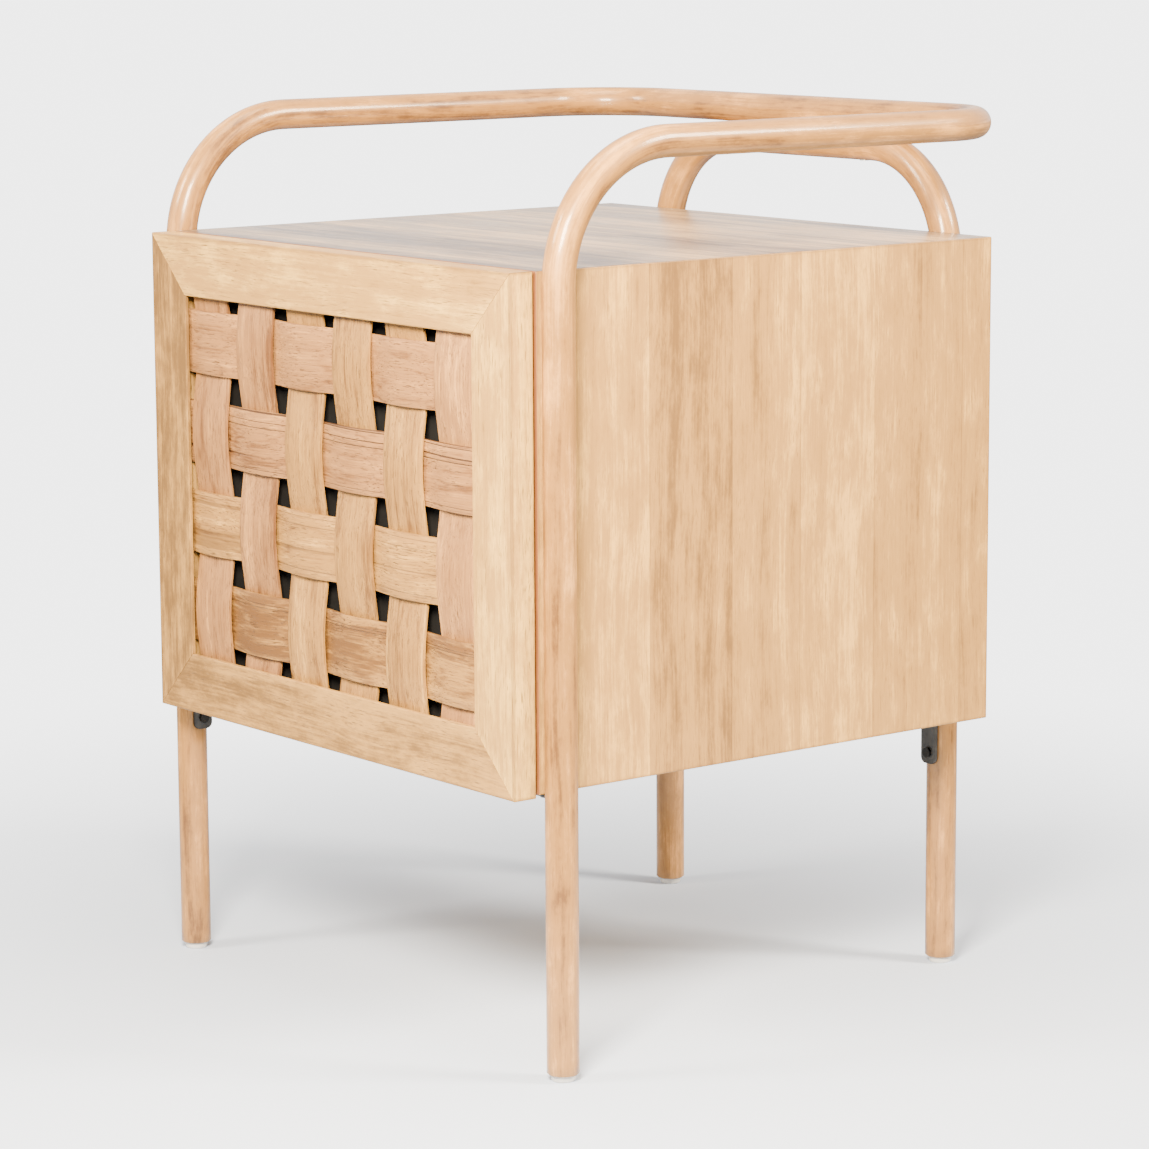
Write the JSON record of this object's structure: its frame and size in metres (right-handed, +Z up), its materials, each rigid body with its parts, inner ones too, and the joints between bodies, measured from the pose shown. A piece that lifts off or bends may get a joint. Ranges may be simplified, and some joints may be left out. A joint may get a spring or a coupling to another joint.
{
  "type": "side table with drawer",
  "caption": "Square timber side table with a deep woven-front drawer, carried in a frame of two bent round poles that rise past the top as arms and a back rail.",
  "frame": {"origin": "on the floor under the centre of the whole table's bounding box", "axes": "+Z up, -Y towards the drawer front, +X to the right of a person facing the drawer"},
  "size_m": [0.505, 0.478, 0.6735],
  "materials": {
    "case_timber": "pale washed timber, satin lacquer",
    "front_timber": "pale washed timber, satin lacquer",
    "weave_timber": "open-pored timber strips, satin",
    "pole_timber": "orange-tan bent pole, gloss lacquer",
    "box_timber": "plain timber, matt",
    "black_board": "board stained black",
    "black_steel": "black paint, satin",
    "black_screws": "blackened screws",
    "plain_screws": "zinc-plated screws",
    "slide_steel": "zinc-plated steel",
    "ball_cages": "cage strips with steel balls",
    "glide_nylon": "translucent white nylon"
  },
  "bodies": {
    "case": {"top_panel": "case_timber", "bottom_panel": "case_timber", "side_panel_left": "case_timber", "side_panel_right": "case_timber", "back_panel": "case_timber", "loop_pole": "pole_timber", "arch_pole": "pole_timber", "rail_screws": "plain_screws", "pole_bolts": "plain_screws", "bracket_front_left": "black_steel", "bracket_front_right": "black_steel", "bracket_rear_left": "black_steel", "bracket_rear_right": "black_steel", "bracket_pole_screws": "black_screws", "bracket_case_screws": "black_screws", "glide_front_left": "glide_nylon", "glide_front_right": "glide_nylon", "glide_rear_left": "glide_nylon", "glide_rear_right": "glide_nylon", "slide_cabinet_left": "slide_steel", "slide_cabinet_right": "slide_steel", "slide_case_screws": "plain_screws"},
    "drawer": {"front_rail_top": "front_timber", "front_rail_bottom": "front_timber", "front_stile_left": "front_timber", "front_stile_right": "front_timber", "weave_upright_1": "weave_timber", "weave_upright_2": "weave_timber", "weave_upright_3": "weave_timber", "weave_upright_4": "weave_timber", "weave_upright_5": "weave_timber", "weave_upright_6": "weave_timber", "weave_cross_1": "weave_timber", "weave_cross_2": "weave_timber", "weave_cross_3": "weave_timber", "weave_cross_4": "weave_timber", "weave_backing": "black_board", "front_screws": "plain_screws", "drawer_box_front": "black_board", "drawer_box_back": "box_timber", "drawer_side_left": "box_timber", "drawer_side_right": "box_timber", "drawer_floor": "box_timber", "slide_runner_left": "slide_steel", "slide_runner_right": "slide_steel", "slide_drawer_screws": "plain_screws"},
    "slide_middle_left_body": {"slide_middle_left": "slide_steel"},
    "slide_middle_right_body": {"slide_middle_right": "slide_steel"},
    "ball_cage_outer_left_body": {"ball_cage_outer_left": "ball_cages"},
    "ball_cage_outer_right_body": {"ball_cage_outer_right": "ball_cages"},
    "ball_cage_inner_left_body": {"ball_cage_inner_left": "ball_cages"},
    "ball_cage_inner_right_body": {"ball_cage_inner_right": "ball_cages"}
  },
  "joints": [
    {"name": "drawer_slide", "type": "slide", "parent": "case", "child": "drawer", "axis": [0, -1, 0], "range_m": [0, 0.33]},
    {"name": "slide_middle_left_travel", "type": "slide", "parent": "case", "child": "slide_middle_left_body", "axis": [0, -1, 0], "range_m": [0, 0.165]},
    {"name": "slide_middle_right_travel", "type": "slide", "parent": "case", "child": "slide_middle_right_body", "axis": [0, -1, 0], "range_m": [0, 0.165]},
    {"name": "ball_cage_outer_left_travel", "type": "slide", "parent": "case", "child": "ball_cage_outer_left_body", "axis": [0, -1, 0], "range_m": [0, 0.0825]},
    {"name": "ball_cage_outer_right_travel", "type": "slide", "parent": "case", "child": "ball_cage_outer_right_body", "axis": [0, -1, 0], "range_m": [0, 0.0825]},
    {"name": "ball_cage_inner_left_travel", "type": "slide", "parent": "case", "child": "ball_cage_inner_left_body", "axis": [0, -1, 0], "range_m": [0, 0.2475]},
    {"name": "ball_cage_inner_right_travel", "type": "slide", "parent": "case", "child": "ball_cage_inner_right_body", "axis": [0, -1, 0], "range_m": [0, 0.2475]}
  ],
  "couplings": [
    {"joint": "slide_middle_left_travel", "follows": "drawer_slide", "ratio": 0.5},
    {"joint": "slide_middle_right_travel", "follows": "drawer_slide", "ratio": 0.5},
    {"joint": "ball_cage_outer_left_travel", "follows": "drawer_slide", "ratio": 0.25},
    {"joint": "ball_cage_outer_right_travel", "follows": "drawer_slide", "ratio": 0.25},
    {"joint": "ball_cage_inner_left_travel", "follows": "drawer_slide", "ratio": 0.75},
    {"joint": "ball_cage_inner_right_travel", "follows": "drawer_slide", "ratio": 0.75}
  ]
}
